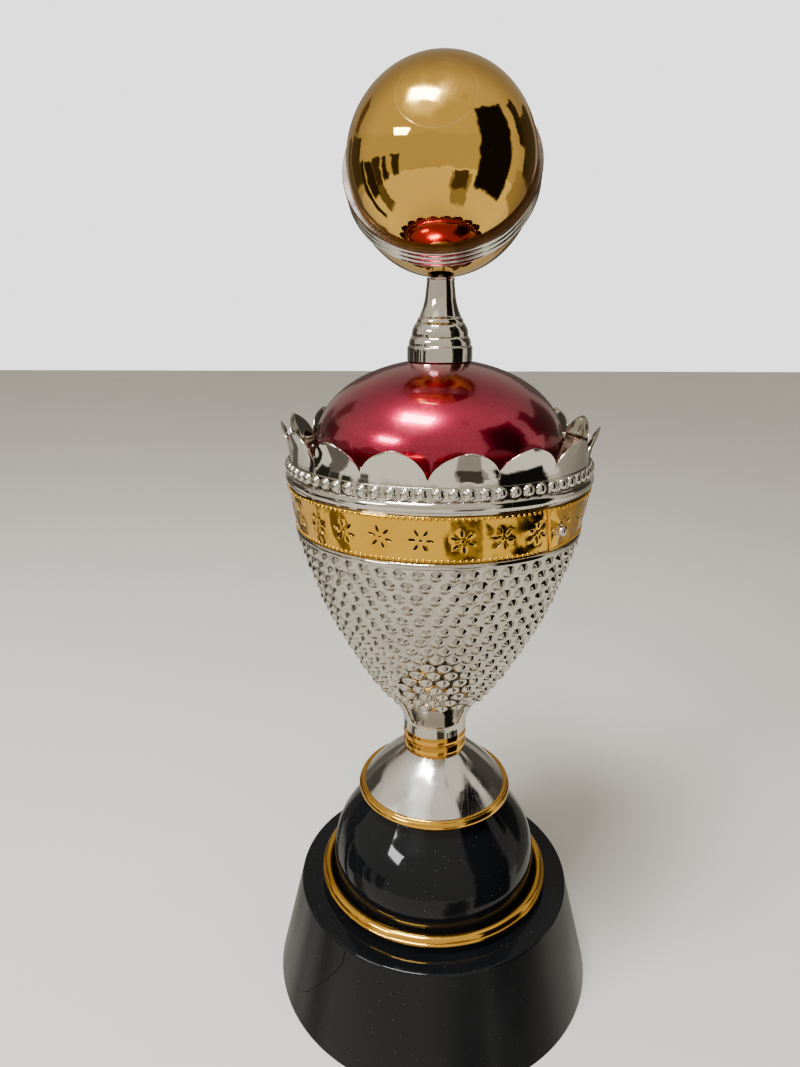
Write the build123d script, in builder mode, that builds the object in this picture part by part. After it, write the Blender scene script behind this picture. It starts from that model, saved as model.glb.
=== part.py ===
"""Cup trophy: black plinth and pedestal, metal foot, beaded bowl with a scalloped crown, a pierced band,
and a domed lid that carries a turned column and a two-part ball with a ribbed seam ring.

Millimetres. +Z is up. The origin is the centre of the plinth's underside, where it stands.
"""
from build123d import *
from math import cos, pi, radians, sin, sqrt
import os

os.makedirs("parts", exist_ok=True)

# ---- driving dimensions -------------------------------------------------------------------------
PLINTH_FOOT_R = 129.5
PLINTH_TOP_R = 108.9
PLINTH_H = 85.5
PLINTH_WALL = 3.0
PLINTH_DECK = 3.5
BOARD_Z = 1.0
BOARD_T = 3.0

PEDESTAL_R = 82.0
FLANGE_R = 90.9
FLANGE_H = 6.0
PEDESTAL_TOP_Z = 166.0
PEDESTAL_WALL = 3.0
SHOULDER_Z = 100.0

FOOT_RING_R = 60.4
FOOT_RING_H = 7.5
CONE_FOOT_R = 56.3
CONE_TOP_R = 25.0
CONE_TOP_Z = 204.0
SHEET = 1.2

COLLAR_R = 24.6
COLLAR_TOP_Z = 221.5

BAND_LOW_Z = 390.0
BAND_TOP_Z = 420.0
BAND_LOW_R = 100.1
BAND_TOP_R = 105.2
STRAP_T = 0.8
RIM_Z = 430.2
RIM_R = 104.0
MOUTH_R = 94.5

SCALLOPS = 16
FIRST_TIP = -13.0
CROWN_FOOT_R = 103.2
CROWN_TIP_R = 106.5
CROWN_TIP_Z = 459.0
NOTCH_Z = 443.0
CROWN_T = 0.8
BEADS = 70
BEAD_R = 4.2
BEAD_PITCH_R = 103.2
BEAD_Z = 433.0

FLOWERS = 26
FIRST_FLOWER = -5.4
SEAM_ANGLE = 41.0
SEAM_LAP = 12.0
NUT_ANGLE = 44.0

LID_R = 85.5
LID_SPRING_Z = 448.0
LID_RISE = 54.8
LID_T = 1.0
LID_FLANGE_R = 101.5
LID_FLANGE_Z = 430.5

COLUMN_R = 22.2
COLUMN_FOOT_Z = 501.5
COLUMN_TOP_Z = 554.8
COLUMN_TOP_R = 9.4

BALL_R = 59.7
BALL_Z = 618.8
BALL_T = 1.0
SEAM_HALF = 8.46
SEAM_R = 63.1
SEAM_TILT = 29.5
SEAM_TURN = -4.0

TIE_R = 3.0
ROD_R = 2.5
M4_R = 2.0
RUNNING = 0.08
FIT = 0.05
CUT_REACH = 12.0


def radial_plane(angle, reach, height):
    """Sketch plane that faces outwards, `angle` degrees from the front towards +X."""
    out = Vector(sin(radians(angle)), -cos(radians(angle)), 0)
    side = Vector(cos(radians(angle)), sin(radians(angle)), 0)
    return Plane(origin=out * reach + Vector(0, 0, height), x_dir=side, z_dir=out)


def strap_r(height):
    """Outer radius of the bowl's wall behind the band."""
    return BAND_LOW_R + (height - BAND_LOW_Z) * (BAND_TOP_R - BAND_LOW_R) / (BAND_TOP_Z - BAND_LOW_Z)


# ---- plinth -------------------------------------------------------------------------------------
slope = (PLINTH_FOOT_R - PLINTH_TOP_R) / PLINTH_H
bevel = 1.5
deck_z = PLINTH_H - PLINTH_DECK
inner_foot_r = PLINTH_FOOT_R - PLINTH_WALL

with BuildPart() as plinth:
    with BuildSketch(Plane.XZ):
        with BuildLine():
            Polyline(
                (TIE_R + FIT, deck_z),
                (TIE_R + FIT, PLINTH_H),
                (PLINTH_TOP_R - bevel, PLINTH_H),
                (PLINTH_TOP_R + slope * bevel, PLINTH_H - bevel),
                (PLINTH_FOOT_R, 0),
                (inner_foot_r, 0),
                (inner_foot_r - slope * deck_z, deck_z),
                close=True,
            )
        make_face()
    revolve(axis=Axis.Z)

board_r = inner_foot_r - slope * (BOARD_Z + BOARD_T) - FIT
with BuildPart() as base_board:
    with BuildSketch(Plane.XY.offset(BOARD_Z)):
        Circle(board_r)
    extrude(amount=BOARD_T)
    fillet(base_board.edges().group_by(Axis.Z)[0], 0.6)

# ---- tie rod with its nuts and washers ------------------------------------------------------------
BASE_WASHER_T = 1.6
BASE_WASHER_R = 12.0
M6_FLATS = 10.0
M6_NUT_H = 5.0
base_washer_z = deck_z - BASE_WASHER_T
base_nut_z = base_washer_z - M6_NUT_H
tie_low_z = base_nut_z - 4.0
bowl_floor_z = COLLAR_TOP_Z + SHEET
bowl_nut_z = bowl_floor_z + BASE_WASHER_T
tie_top_z = bowl_nut_z + M6_NUT_H + 3.0
BOWL_WASHER_R = 9.0

with BuildPart() as base_washer:
    with BuildSketch(Plane.XY.offset(base_washer_z)):
        Circle(BASE_WASHER_R)
        Circle(TIE_R + FIT, mode=Mode.SUBTRACT)
    extrude(amount=BASE_WASHER_T)

with BuildPart() as base_nut:
    with BuildSketch(Plane.XY.offset(base_nut_z)):
        RegularPolygon(M6_FLATS / 2, 6, major_radius=False)
        Circle(TIE_R + FIT, mode=Mode.SUBTRACT)
    extrude(amount=M6_NUT_H)

with BuildPart() as tie_rod:
    with BuildSketch(Plane.XY.offset(tie_low_z)):
        Circle(TIE_R)
    extrude(amount=tie_top_z - tie_low_z)
    chamfer(tie_rod.edges(), 0.6)

with BuildPart() as bowl_washer:
    with BuildSketch(Plane.XY.offset(bowl_floor_z)):
        Circle(BOWL_WASHER_R)
        Circle(TIE_R + FIT, mode=Mode.SUBTRACT)
    extrude(amount=BASE_WASHER_T)

with BuildPart() as bowl_nut:
    with BuildSketch(Plane.XY.offset(bowl_nut_z)):
        RegularPolygon(M6_FLATS / 2, 6, major_radius=False)
        Circle(TIE_R + FIT, mode=Mode.SUBTRACT)
    extrude(amount=M6_NUT_H)

# ---- pedestal -------------------------------------------------------------------------------------
flange_z = PLINTH_H + FLANGE_H
pedestal_top_r = 50.0
web_z = PEDESTAL_TOP_Z - PEDESTAL_WALL
web_r = 47.8
inner_r = PEDESTAL_R - PEDESTAL_WALL

with BuildPart() as pedestal:
    with BuildSketch(Plane.XZ):
        with BuildLine():
            Polyline(
                (TIE_R + FIT, web_z),
                (TIE_R + FIT, PEDESTAL_TOP_Z),
                (pedestal_top_r, PEDESTAL_TOP_Z),
            )
            Spline(
                (pedestal_top_r, PEDESTAL_TOP_Z),
                (59.8, 154.5),
                (68.2, 144.5),
                (77.2, 130.0),
                (81.3, 115.0),
                (PEDESTAL_R, SHOULDER_Z),
            )
            Polyline(
                (PEDESTAL_R, SHOULDER_Z),
                (PEDESTAL_R, flange_z),
                (FLANGE_R - 0.6, flange_z),
                (FLANGE_R, flange_z - 0.6),
                (FLANGE_R, PLINTH_H),
                (inner_r, PLINTH_H),
                (inner_r, SHOULDER_Z),
            )
            Spline(
                (inner_r, SHOULDER_Z),
                (78.2, 114.0),
                (74.3, 128.4),
                (65.7, 142.4),
                (57.6, 152.4),
                (web_r, web_z),
            )
            Line((web_r, web_z), (TIE_R + FIT, web_z))
        make_face()
    revolve(axis=Axis.Z)

with BuildPart() as pedestal_ring:
    with BuildSketch(Plane.XZ):
        with BuildLine():
            Line((83.2, flange_z), (83.2, flange_z + 3.4))
            ThreePointArc((83.2, flange_z + 3.4), (87.2, flange_z + 6.6), (90.7, flange_z + 2.6))
            ThreePointArc((90.7, flange_z + 2.6), (92.0, flange_z + 1.4), (91.4, flange_z))
            Line((91.4, flange_z), (83.2, flange_z))
        make_face()
    revolve(axis=Axis.Z)

# ---- metal foot -----------------------------------------------------------------------------------
ring_z = PEDESTAL_TOP_Z
ring_seat_z = ring_z + FOOT_RING_H

with BuildPart() as foot_ring:
    with BuildSketch(Plane.XZ):
        with BuildLine():
            Line((45.0, ring_z), (58.4, ring_z))
            ThreePointArc((58.4, ring_z), (FOOT_RING_R, ring_z + 2.0), (59.0, ring_z + 4.2))
            ThreePointArc((59.0, ring_z + 4.2), (59.3, ring_z + 7.0), (57.0, ring_z + 8.4))
            Polyline(
                (57.0, ring_z + 8.4),
                (56.5, ring_seat_z),
                (52.0, ring_seat_z),
                (50.0, ring_z + 1.5),
                (45.0, ring_z + 1.5),
                (45.0, ring_z),
            )
        make_face()
    revolve(axis=Axis.Z)

with BuildPart() as foot_cone:
    with BuildSketch(Plane.XZ):
        with BuildLine():
            Polyline(
                (TIE_R + FIT, CONE_TOP_Z - SHEET),
                (TIE_R + FIT, CONE_TOP_Z),
                (CONE_TOP_R - 0.8, CONE_TOP_Z),
            )
            Spline(
                (CONE_TOP_R - 0.8, CONE_TOP_Z),
                (30.6, 199.0),
                (44.0, 187.0),
                (CONE_FOOT_R, ring_seat_z),
            )
            Line((CONE_FOOT_R, ring_seat_z), (CONE_FOOT_R - 1.9, ring_seat_z))
            Spline(
                (CONE_FOOT_R - 1.9, ring_seat_z),
                (43.2, 186.1),
                (29.9, 198.0),
                (CONE_TOP_R - 1.2, CONE_TOP_Z - SHEET),
            )
            Line((CONE_TOP_R - 1.2, CONE_TOP_Z - SHEET), (TIE_R + FIT, CONE_TOP_Z - SHEET))
        make_face()
    revolve(axis=Axis.Z)

collar_bead_h = (COLLAR_TOP_Z - CONE_TOP_Z) / 2
collar_groove_r = COLLAR_R - 1.1
with BuildPart() as neck_collar:
    with BuildSketch(Plane.XZ):
        with BuildLine():
            Polyline(
                (collar_groove_r, COLLAR_TOP_Z),
                (19.5, COLLAR_TOP_Z),
                (19.5, CONE_TOP_Z),
                (collar_groove_r, CONE_TOP_Z),
            )
            for bead in range(2):
                low = CONE_TOP_Z + bead * collar_bead_h
                ThreePointArc(
                    (collar_groove_r, low),
                    (COLLAR_R, low + collar_bead_h / 2),
                    (collar_groove_r, low + collar_bead_h),
                )
        make_face()
    revolve(axis=Axis.Z)

# ---- bowl and rim moulding ------------------------------------------------------------------------
LIP_Z = 385.0
mid_z = (BAND_LOW_Z + BAND_TOP_Z) / 2
NECK_R = 24.3
bowl_points = [
    (NECK_R, 230.0),
    (27.0, 237.0),
    (33.4, 248.5),
    (45.8, 265.0),
    (58.2, 285.0),
    (69.0, 305.0),
    (81.2, 330.0),
    (91.8, 360.0),
    (99.4, LIP_Z),
]
inner_points = [
    (NECK_R - SHEET, 231.0),
    (25.9, 237.6),
    (32.5, 249.4),
    (44.8, 265.9),
    (57.1, 285.7),
    (67.9, 305.6),
    (80.1, 330.4),
    (90.6, 360.2),
    (99.4 - SHEET, LIP_Z),
]

with BuildPart() as bowl:
    with BuildSketch(Plane.XZ):
        with BuildLine():
            Polyline(
                (TIE_R + FIT, bowl_floor_z),
                (TIE_R + FIT, COLLAR_TOP_Z),
                (NECK_R, COLLAR_TOP_Z),
                bowl_points[0],
            )
            Spline(*bowl_points)
            ThreePointArc(bowl_points[-1], (101.6, 387.2), (BAND_LOW_R, BAND_LOW_Z - 0.3))
            Polyline(
                (BAND_LOW_R, BAND_LOW_Z - 0.3),
                (BAND_LOW_R, BAND_LOW_Z),
                (BAND_TOP_R, BAND_TOP_Z),
                (RIM_R, BAND_TOP_Z + 0.8),
                (RIM_R, RIM_Z),
                (MOUTH_R, RIM_Z),
                (MOUTH_R, RIM_Z - SHEET),
                (RIM_R - SHEET, RIM_Z - SHEET),
                (RIM_R - SHEET, BAND_TOP_Z),
                (BAND_TOP_R - SHEET, BAND_TOP_Z - 0.6),
                (BAND_LOW_R - SHEET, BAND_LOW_Z),
                inner_points[-1],
            )
            Spline(*reversed(inner_points))
            Polyline(
                inner_points[0],
                (NECK_R - SHEET, bowl_floor_z),
                (TIE_R + FIT, bowl_floor_z),
            )
        make_face()
    revolve(axis=Axis.Z)
    with BuildSketch(radial_plane(NUT_ANGLE, BAND_LOW_R - CUT_REACH, mid_z)):
        Circle(M4_R + FIT)
    extrude(amount=2 * CUT_REACH, mode=Mode.SUBTRACT)

MOULDING_LOW_Z = BAND_TOP_Z + 1.0
MOULDING_TOP_Z = 428.8
MOULDING_R = 107.6
with BuildPart() as rim_moulding:
    with BuildSketch(Plane.XZ):
        with BuildLine():
            Polyline(
                (RIM_R + FIT, MOULDING_TOP_Z),
                (RIM_R + FIT, MOULDING_LOW_Z),
                (106.3, MOULDING_LOW_Z),
                (106.3, MOULDING_LOW_Z + 1.2),
            )
            ThreePointArc(
                (106.3, MOULDING_LOW_Z + 1.2),
                (MOULDING_R, MOULDING_LOW_Z + 4.2),
                (105.6, MOULDING_TOP_Z),
            )
            Line((105.6, MOULDING_TOP_Z), (RIM_R + FIT, MOULDING_TOP_Z))
        make_face()
    revolve(axis=Axis.Z)

# ---- crown: scalloped sheet with a row of beads ---------------------------------------------------
FLARE_Z = 438.0
FLARE_MID_Z = 448.5
FLARE_MID_R = 104.4
with BuildPart() as crown:
    with BuildSketch(Plane.XZ):
        with BuildLine():
            Line((CROWN_FOOT_R, RIM_Z), (CROWN_FOOT_R, FLARE_Z))
            ThreePointArc(
                (CROWN_FOOT_R, FLARE_Z),
                (FLARE_MID_R, FLARE_MID_Z),
                (CROWN_TIP_R, CROWN_TIP_Z),
            )
            Line((CROWN_TIP_R, CROWN_TIP_Z), (CROWN_TIP_R + CROWN_T, CROWN_TIP_Z))
            ThreePointArc(
                (CROWN_TIP_R + CROWN_T, CROWN_TIP_Z),
                (FLARE_MID_R + CROWN_T, FLARE_MID_Z),
                (CROWN_FOOT_R + CROWN_T, FLARE_Z),
            )
            Polyline(
                (CROWN_FOOT_R + CROWN_T, FLARE_Z),
                (CROWN_FOOT_R + CROWN_T, RIM_Z),
                (CROWN_FOOT_R, RIM_Z),
            )
        make_face()
    revolve(axis=Axis.Z)
    half_scallop = pi * (CROWN_TIP_R + CROWN_T) / SCALLOPS
    for notch in range(SCALLOPS):
        angle = FIRST_TIP + (notch + 0.5) * 360 / SCALLOPS
        with BuildSketch(radial_plane(angle, CROWN_FOOT_R - CUT_REACH / 2, NOTCH_Z)):
            with BuildLine():
                rise = CROWN_TIP_Z - NOTCH_Z
                ThreePointArc((-half_scallop, rise), (-0.40 * half_scallop, 0.72 * rise), (0, 0))
                ThreePointArc((0, 0), (0.40 * half_scallop, 0.72 * rise), (half_scallop, rise))
                Polyline(
                    (half_scallop, rise),
                    (half_scallop, rise + 1),
                    (-half_scallop, rise + 1),
                    (-half_scallop, rise),
                )
            make_face()
        extrude(amount=CUT_REACH, mode=Mode.SUBTRACT)

strip_in_r = RIM_R + FIT
STRIP_LOW_Z = MOULDING_TOP_Z + 0.1
STRIP_H = 8.3
STRIP_T = 0.9
with BuildPart() as bead_strip:
    with BuildSketch(Plane.XZ):
        with Locations((strip_in_r, STRIP_LOW_Z)):
            Rectangle(STRIP_T, STRIP_H, align=(Align.MIN, Align.MIN))
    revolve(axis=Axis.Z)
    for bead in range(BEADS):
        turn = radians(bead * 360 / BEADS)
        with Locations((BEAD_PITCH_R * sin(turn), -BEAD_PITCH_R * cos(turn), BEAD_Z)):
            Sphere(BEAD_R)
    with BuildSketch(Plane.XY.offset(STRIP_LOW_Z - CUT_REACH)):
        Circle(strip_in_r)
    extrude(amount=3 * CUT_REACH, mode=Mode.SUBTRACT)
    with BuildSketch(Plane.XY.offset(STRIP_LOW_Z - CUT_REACH)):
        Circle(strip_in_r + CUT_REACH)
    extrude(amount=CUT_REACH, mode=Mode.SUBTRACT)

# ---- pierced band, closed by a lap, a screw and a domed nut -----------------------------------------
PETALS = 6
PETAL_MID = 5.2
PETAL_LONG = 4.2
PETAL_WIDE = 2.1
EYE_R = 1.1
NUT_CLEAR = 10.0

with BuildPart() as band:
    with BuildSketch(Plane.XZ):
        with BuildLine():
            Polyline(
                (strap_r(BAND_LOW_Z) + FIT, BAND_LOW_Z),
                (strap_r(BAND_TOP_Z) + FIT, BAND_TOP_Z),
                (strap_r(BAND_TOP_Z) + FIT + STRAP_T, BAND_TOP_Z),
                (strap_r(BAND_LOW_Z) + FIT + STRAP_T, BAND_LOW_Z),
                close=True,
            )
        make_face()
    revolve(axis=Axis.Z)
    lap_plane = Plane.XZ.rotated((0, 0, SEAM_ANGLE - 90))
    with BuildSketch(lap_plane):
        with BuildLine():
            Polyline(
                (strap_r(BAND_LOW_Z) + FIT, BAND_LOW_Z),
                (strap_r(BAND_TOP_Z) + FIT, BAND_TOP_Z),
                (strap_r(BAND_TOP_Z) + FIT + 2 * STRAP_T, BAND_TOP_Z),
                (strap_r(BAND_LOW_Z) + FIT + 2 * STRAP_T, BAND_LOW_Z),
                close=True,
            )
        make_face()
    revolve(axis=Axis.Z, revolution_arc=SEAM_LAP)
    for flower in range(FLOWERS):
        angle = FIRST_FLOWER + flower * 360 / FLOWERS
        if abs(angle - SEAM_ANGLE - SEAM_LAP / 2) > NUT_CLEAR:
            with BuildSketch(radial_plane(angle, BAND_LOW_R - CUT_REACH / 2, mid_z)):
                Circle(EYE_R)
                with PolarLocations(PETAL_MID, PETALS, start_angle=30):
                    Ellipse(PETAL_LONG / 2, PETAL_WIDE / 2)
            extrude(amount=2 * CUT_REACH, mode=Mode.SUBTRACT)
    with BuildSketch(radial_plane(NUT_ANGLE, BAND_LOW_R - CUT_REACH, mid_z)):
        Circle(M4_R + FIT)
    extrude(amount=2 * CUT_REACH, mode=Mode.SUBTRACT)

M4_FLATS = 7.0
SCREW_HEAD_R = 4.0
SCREW_HEAD_T = 2.4
head_seat = strap_r(mid_z) - SHEET - 0.9
nut_seat = strap_r(mid_z) + FIT + 2 * STRAP_T + 0.7
NUT_HEX_H = 3.2
NUT_DOME_R = 3.2
NUT_H = 7.6

with BuildPart() as band_screw:
    with BuildSketch(radial_plane(NUT_ANGLE, head_seat - SCREW_HEAD_T, mid_z)):
        Circle(SCREW_HEAD_R)
    extrude(amount=SCREW_HEAD_T)
    fillet(band_screw.edges().filter_by(GeomType.CIRCLE).sort_by(Axis.X)[0], 1.0)
    with BuildSketch(radial_plane(NUT_ANGLE, head_seat, mid_z)):
        Circle(M4_R)
    extrude(amount=nut_seat + NUT_H - 2.5 - head_seat)
    with BuildSketch(radial_plane(NUT_ANGLE, head_seat - SCREW_HEAD_T, mid_z)):
        Rectangle(2 * SCREW_HEAD_R, 1.0)
    extrude(amount=1.1, mode=Mode.SUBTRACT)

with BuildPart() as band_nut:
    with BuildSketch(radial_plane(NUT_ANGLE, nut_seat, mid_z)):
        RegularPolygon(M4_FLATS / 2, 6, major_radius=False)
    extrude(amount=NUT_HEX_H)
    with BuildSketch(radial_plane(NUT_ANGLE, nut_seat + NUT_HEX_H, mid_z)):
        Circle(NUT_DOME_R)
    extrude(amount=NUT_H - NUT_HEX_H)
    fillet(band_nut.edges().filter_by(GeomType.CIRCLE).sort_by(Axis.X)[-1], 2.8)
    with BuildSketch(radial_plane(NUT_ANGLE, nut_seat, mid_z)):
        Circle(M4_R + 0.02)
    extrude(amount=NUT_H - 2.0, mode=Mode.SUBTRACT)

# ---- lid ------------------------------------------------------------------------------------------
rod_hole_r = ROD_R + RUNNING
inner_lid_r = LID_R - LID_T
inner_rise = LID_RISE - LID_T


def lid_z(radius, half_width, rise):
    """Height of an elliptical dome's surface above a circle of the given radius."""
    return LID_SPRING_Z + rise * sqrt(1 - (radius / half_width) ** 2)


def dome_points(half_width, rise):
    """Points down an elliptical dome from near its top to near its spring line."""
    steps = [radians(t) for t in (15, 30, 45, 60, 75)]
    return [(half_width * sin(t), LID_SPRING_Z + rise * cos(t)) for t in steps]


outer_hole_z = lid_z(rod_hole_r, LID_R, LID_RISE)
inner_hole_z = lid_z(rod_hole_r, inner_lid_r, inner_rise)

with BuildPart() as lid_dome:
    with BuildSketch(Plane.XZ):
        with BuildLine():
            Line((rod_hole_r, inner_hole_z), (rod_hole_r, outer_hole_z))
            Spline(
                (rod_hole_r, outer_hole_z),
                *dome_points(LID_R, LID_RISE),
                (LID_R, LID_SPRING_Z),
                tangents=[(1, 0), (0, -1)],
            )
            Polyline(
                (LID_R, LID_SPRING_Z),
                (LID_R, LID_FLANGE_Z + LID_T),
                (LID_FLANGE_R, LID_FLANGE_Z + LID_T),
                (LID_FLANGE_R, LID_FLANGE_Z),
                (inner_lid_r, LID_FLANGE_Z),
                (inner_lid_r, LID_SPRING_Z),
            )
            Spline(
                (inner_lid_r, LID_SPRING_Z),
                *reversed(dome_points(inner_lid_r, inner_rise)),
                (rod_hole_r, inner_hole_z),
                tangents=[(0, 1), (-1, 0)],
            )
        make_face()
    revolve(axis=Axis.Z)

LOCATOR_R = MOUTH_R - 1.2
LOCATOR_H = 9.0
with BuildPart() as lid_locating_ring:
    with BuildSketch(Plane.XY.offset(LID_FLANGE_Z - LOCATOR_H)):
        Circle(LOCATOR_R)
        Circle(LOCATOR_R - LID_T, mode=Mode.SUBTRACT)
    extrude(amount=LOCATOR_H)

# ---- finial: rod, washers, nuts and column ----------------------------------------------------------
M5_FLATS = 8.0
M5_NUT_H = 4.0
M5_WASHER_R = 6.0
M5_WASHER_T = 1.0
lid_washer_z = lid_z(M5_WASHER_R, inner_lid_r, inner_rise) - 0.15 - M5_WASHER_T
lid_nut_z = lid_washer_z - M5_NUT_H
ball_washer_z = COLUMN_TOP_Z + 2.6
ball_nut_z = ball_washer_z + M5_WASHER_T
rod_low_z = lid_nut_z - 3.0
rod_top_z = ball_nut_z + M5_NUT_H + 2.0

with BuildPart() as lid_washer:
    with BuildSketch(Plane.XY.offset(lid_washer_z)):
        Circle(M5_WASHER_R)
        Circle(ROD_R + FIT, mode=Mode.SUBTRACT)
    extrude(amount=M5_WASHER_T)

with BuildPart() as lid_nut:
    with BuildSketch(Plane.XY.offset(lid_nut_z)):
        RegularPolygon(M5_FLATS / 2, 6, major_radius=False)
        Circle(ROD_R + FIT, mode=Mode.SUBTRACT)
    extrude(amount=M5_NUT_H)

with BuildPart() as finial_rod:
    with BuildSketch(Plane.XY.offset(rod_low_z)):
        Circle(ROD_R)
    extrude(amount=rod_top_z - rod_low_z)
    chamfer(finial_rod.edges(), 0.5)

with BuildPart() as ball_washer:
    with BuildSketch(Plane.XY.offset(ball_washer_z)):
        Circle(M5_WASHER_R - 1)
        Circle(ROD_R + FIT, mode=Mode.SUBTRACT)
    extrude(amount=M5_WASHER_T)

with BuildPart() as ball_nut:
    with BuildSketch(Plane.XY.offset(ball_nut_z)):
        RegularPolygon(M5_FLATS / 2, 6, major_radius=False)
        Circle(ROD_R + FIT, mode=Mode.SUBTRACT)
    extrude(amount=M5_NUT_H)

with BuildPart() as finial_column:
    with BuildSketch(Plane.XZ):
        with BuildLine():
            Line((19.9, COLUMN_FOOT_Z), (COLUMN_R, COLUMN_FOOT_Z))
            Line((COLUMN_R, COLUMN_FOOT_Z), (COLUMN_R, 510.2))
            ThreePointArc((COLUMN_R, 510.2), (21.9, 511.0), (21.1, 511.3))
            ThreePointArc((21.1, 511.3), (20.9, 514.6), (19.2, 517.4))
            ThreePointArc((19.2, 517.4), (18.7, 522.0), (16.0, 526.4))
            ThreePointArc((16.0, 526.4), (15.4, 528.4), (14.2, 530.0))
            Spline(
                (14.2, 530.0),
                (12.2, 535.0),
                (10.6, 541.0),
                (9.7, 548.0),
                (COLUMN_TOP_R - 0.3, COLUMN_TOP_Z - 1.6),
            )
            Polyline(
                (COLUMN_TOP_R - 0.3, COLUMN_TOP_Z - 1.6),
                (COLUMN_TOP_R, COLUMN_TOP_Z - 1.2),
                (COLUMN_TOP_R, COLUMN_TOP_Z),
                (ROD_R + FIT, COLUMN_TOP_Z),
                (ROD_R + FIT, COLUMN_TOP_Z - 4),
                (7.8, COLUMN_TOP_Z - 4),
                (8.5, 545.0),
                (11.0, 532.0),
                (13.6, 525.0),
                (16.6, 516.0),
                (19.9, 508.0),
                (19.9, COLUMN_FOOT_Z),
            )
        make_face()
    revolve(axis=Axis.Z)

# ---- ball: two half shells on a ribbed seam ring ----------------------------------------------------
seam_axis = Vector(
    sin(radians(SEAM_TURN)) * cos(radians(SEAM_TILT)),
    -cos(radians(SEAM_TURN)) * cos(radians(SEAM_TILT)),
    sin(radians(SEAM_TILT)),
)
seam_side = Vector(cos(radians(SEAM_TURN)), sin(radians(SEAM_TURN)), 0)
ball_centre = Vector(0, 0, BALL_Z)
ball_plane = Plane(origin=ball_centre, x_dir=seam_side, z_dir=seam_side.cross(seam_axis))
ball_axis = Axis(ball_centre, seam_axis)
half_seat = seam_axis * (SEAM_HALF + FIT)
front_plane = Plane(origin=ball_centre + half_seat, x_dir=seam_side, z_dir=seam_axis)
rear_plane = Plane(origin=ball_centre - half_seat, x_dir=seam_side, z_dir=-seam_axis)

with BuildPart(front_plane) as ball_front:
    Sphere(BALL_R, arc_size1=0, arc_size2=90, align=None)
    Sphere(BALL_R - BALL_T, arc_size1=0, arc_size2=90, align=None, mode=Mode.SUBTRACT)

with BuildPart(rear_plane) as ball_rear:
    Sphere(BALL_R, arc_size1=0, arc_size2=90, align=None)
    Sphere(BALL_R - BALL_T, arc_size1=0, arc_size2=90, align=None, mode=Mode.SUBTRACT)
    with BuildSketch(Plane.XY.offset(COLUMN_TOP_Z)):
        Circle(ROD_R + FIT)
    extrude(amount=CUT_REACH, mode=Mode.SUBTRACT)

RIDGES = 3
top_bead_h = 3.0
ridge_h = (2 * SEAM_HALF - top_bead_h) / RIDGES
groove_r = SEAM_R - 1.1
spigot_r = BALL_R - BALL_T - 0.35
spigot_reach = SEAM_HALF + 4.5

with BuildPart() as ball_seam_ring:
    with BuildSketch(ball_plane):
        with BuildLine():
            Line((spigot_r, SEAM_HALF), (groove_r + 0.5, SEAM_HALF))
            ThreePointArc(
                (groove_r + 0.5, SEAM_HALF),
                (SEAM_R, SEAM_HALF - top_bead_h / 2),
                (groove_r, SEAM_HALF - top_bead_h),
            )
            for ridge in range(RIDGES):
                high = SEAM_HALF - top_bead_h - ridge * ridge_h
                ThreePointArc(
                    (groove_r, high),
                    (SEAM_R - 0.1, high - ridge_h / 2),
                    (groove_r, high - ridge_h),
                )
            Polyline(
                (groove_r, -SEAM_HALF),
                (spigot_r, -SEAM_HALF),
                (spigot_r, -spigot_reach),
                (spigot_r - 1.2, -spigot_reach),
                (spigot_r - 1.2, spigot_reach),
                (spigot_r, spigot_reach),
                (spigot_r, SEAM_HALF),
            )
        make_face()
    revolve(axis=ball_axis)

# ---- one file per piece -----------------------------------------------------------------------------
pieces = {
    "plinth": plinth,
    "base_board": base_board,
    "base_washer": base_washer,
    "base_nut": base_nut,
    "tie_rod": tie_rod,
    "pedestal": pedestal,
    "pedestal_ring": pedestal_ring,
    "foot_ring": foot_ring,
    "foot_cone": foot_cone,
    "neck_collar": neck_collar,
    "bowl": bowl,
    "bowl_washer": bowl_washer,
    "bowl_nut": bowl_nut,
    "rim_moulding": rim_moulding,
    "crown": crown,
    "bead_strip": bead_strip,
    "band": band,
    "band_screw": band_screw,
    "band_nut": band_nut,
    "lid_dome": lid_dome,
    "lid_locating_ring": lid_locating_ring,
    "lid_washer": lid_washer,
    "lid_nut": lid_nut,
    "finial_rod": finial_rod,
    "finial_column": finial_column,
    "ball_washer": ball_washer,
    "ball_nut": ball_nut,
    "ball_rear": ball_rear,
    "ball_seam_ring": ball_seam_ring,
    "ball_front": ball_front,
}
for name, piece in pieces.items():
    piece.part.label = name
    export_step(piece.part, f"parts/{name}.step")
    print(name, piece.part.bounding_box().size)
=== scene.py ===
import math
import random

import bmesh
import bpy
from mathutils import Matrix, Vector, noise
from mathutils.geometry import delaunay_2d_cdt


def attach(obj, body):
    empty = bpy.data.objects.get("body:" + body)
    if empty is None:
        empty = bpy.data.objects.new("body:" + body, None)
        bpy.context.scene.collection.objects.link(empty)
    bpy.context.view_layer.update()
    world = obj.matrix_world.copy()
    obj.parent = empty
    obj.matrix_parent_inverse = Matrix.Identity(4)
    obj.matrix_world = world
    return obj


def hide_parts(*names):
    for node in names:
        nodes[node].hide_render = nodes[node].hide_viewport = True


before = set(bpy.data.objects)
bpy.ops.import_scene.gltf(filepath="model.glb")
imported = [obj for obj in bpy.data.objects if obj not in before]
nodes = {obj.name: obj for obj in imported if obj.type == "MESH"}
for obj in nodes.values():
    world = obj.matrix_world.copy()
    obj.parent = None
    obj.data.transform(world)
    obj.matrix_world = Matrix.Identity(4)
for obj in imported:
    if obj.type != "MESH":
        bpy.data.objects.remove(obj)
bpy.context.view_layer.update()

MM = 0.001

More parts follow.
